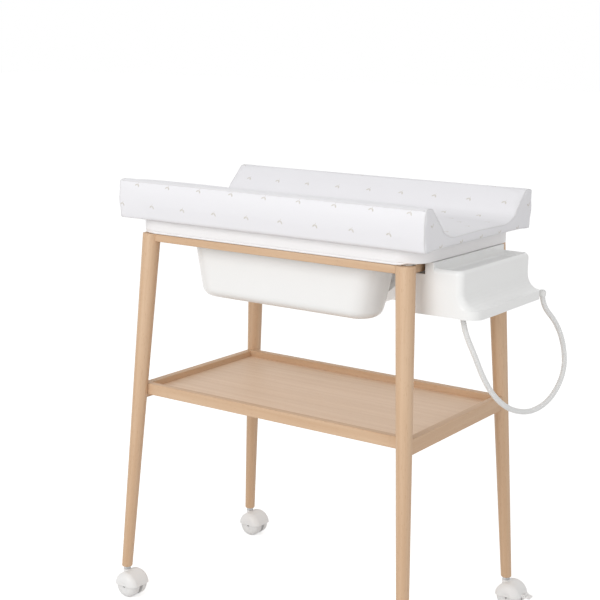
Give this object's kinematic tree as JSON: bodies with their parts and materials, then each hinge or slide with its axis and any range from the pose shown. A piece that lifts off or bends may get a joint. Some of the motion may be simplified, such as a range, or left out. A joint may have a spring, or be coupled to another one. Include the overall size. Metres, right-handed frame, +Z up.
{
  "type": "changing table with bathtub",
  "caption": "Wooden changing table on casters: padded mat on a hinged lid over a moulded baby bath with end tray, drain hose and shelf below.",
  "frame": {"origin": "centre of the whole table's plan, on the floor", "axes": "+X along the table towards the tub's tray end, +Y away from the user, +Z up"},
  "size_m": [0.9041, 0.5582, 1.003],
  "materials": {
    "beech": "satin varnish",
    "tub_white": "glossy moulded",
    "lid_white": "glossy moulded",
    "drain_white": "satin",
    "mat_vinyl": "smooth coated cloth",
    "hose_clear": "translucent",
    "caster_plastic": "satin",
    "caster_tyre": "matt",
    "rubber": "matt",
    "steel": "zinc plated"
  },
  "bodies": {
    "stand": {"leg_front_left": "beech", "leg_front_right": "beech", "leg_rear_left": "beech", "leg_rear_right": "beech", "top_rail_front": "beech", "top_rail_rear": "beech", "top_rail_left": "beech", "top_rail_right": "beech", "shelf_rail_front": "beech", "shelf_rail_rear": "beech", "shelf_rail_left": "beech", "shelf_rail_right": "beech", "shelf_panel": "beech", "rail_dowels": "beech", "tub": "tub_white", "tub_end": "tub_white", "drain_body": "steel", "drain_seal": "rubber", "drain_nut": "drain_white", "drain_elbow": "drain_white", "hose_clip": "drain_white", "drain_hose": "hose_clear", "hinge_fixed_leaves": "steel", "hinge_pins": "steel", "rail_hinge_screws": "steel", "caster_stem_front_left": "steel", "caster_stem_front_right": "steel", "caster_stem_rear_left": "steel", "caster_stem_rear_right": "steel"},
    "lid": {"lid": "lid_white", "lid_bumpers": "rubber", "hinge_moving_leaves": "steel", "lid_hinge_screws": "steel", "changing_mat": "mat_vinyl"},
    "plug": {"drain_plug": "rubber"},
    "caster_front_left": {"caster_hood_front_left": "caster_plastic", "caster_axle_front_left": "steel"},
    "wheels_front_left": {"caster_wheels_front_left": "caster_tyre"},
    "caster_front_right": {"caster_hood_front_right": "caster_plastic", "caster_axle_front_right": "steel", "brake_pin_front_right": "steel"},
    "wheels_front_right": {"caster_wheels_front_right": "caster_tyre"},
    "brake_front_right": {"brake_lever_front_right": "caster_plastic"},
    "caster_rear_left": {"caster_hood_rear_left": "caster_plastic", "caster_axle_rear_left": "steel"},
    "wheels_rear_left": {"caster_wheels_rear_left": "caster_tyre"},
    "caster_rear_right": {"caster_hood_rear_right": "caster_plastic", "caster_axle_rear_right": "steel", "brake_pin_rear_right": "steel"},
    "wheels_rear_right": {"caster_wheels_rear_right": "caster_tyre"},
    "brake_rear_right": {"brake_lever_rear_right": "caster_plastic"}
  },
  "joints": [
    {"name": "lid_hinge", "type": "hinge", "parent": "stand", "child": "lid", "pos_m": [-0.0375, 0.221, 0.88], "axis": [-1, 0, 0], "range_deg": [0, 95]},
    {"name": "plug_lift", "type": "slide", "parent": "stand", "child": "plug", "axis": [0, 0, 1], "range_m": [0, 0.08]},
    {"name": "swivel_front_left", "type": "hinge", "parent": "stand", "child": "caster_front_left", "pos_m": [-0.4185, -0.246, 0.06], "axis": [0, 0, 1], "continuous": true},
    {"name": "roll_front_left", "type": "hinge", "parent": "caster_front_left", "child": "wheels_front_left", "pos_m": [-0.4035, -0.246, 0.029], "axis": [0, 1, 0], "continuous": true},
    {"name": "swivel_front_right", "type": "hinge", "parent": "stand", "child": "caster_front_right", "pos_m": [0.3435, -0.246, 0.06], "axis": [0, 0, 1], "continuous": true},
    {"name": "roll_front_right", "type": "hinge", "parent": "caster_front_right", "child": "wheels_front_right", "pos_m": [0.3585, -0.246, 0.029], "axis": [0, 1, 0], "continuous": true},
    {"name": "brake_front_right_press", "type": "hinge", "parent": "caster_front_right", "child": "brake_front_right", "pos_m": [0.3955, -0.246, 0.035], "axis": [0, 1, 0], "range_deg": [0, 12]},
    {"name": "swivel_rear_left", "type": "hinge", "parent": "stand", "child": "caster_rear_left", "pos_m": [-0.4185, 0.246, 0.06], "axis": [0, 0, 1], "continuous": true},
    {"name": "roll_rear_left", "type": "hinge", "parent": "caster_rear_left", "child": "wheels_rear_left", "pos_m": [-0.4035, 0.246, 0.029], "axis": [0, 1, 0], "continuous": true},
    {"name": "swivel_rear_right", "type": "hinge", "parent": "stand", "child": "caster_rear_right", "pos_m": [0.3435, 0.246, 0.06], "axis": [0, 0, 1], "continuous": true},
    {"name": "roll_rear_right", "type": "hinge", "parent": "caster_rear_right", "child": "wheels_rear_right", "pos_m": [0.3585, 0.246, 0.029], "axis": [0, 1, 0], "continuous": true},
    {"name": "brake_rear_right_press", "type": "hinge", "parent": "caster_rear_right", "child": "brake_rear_right", "pos_m": [0.3955, 0.246, 0.035], "axis": [0, 1, 0], "range_deg": [0, 12]}
  ]
}
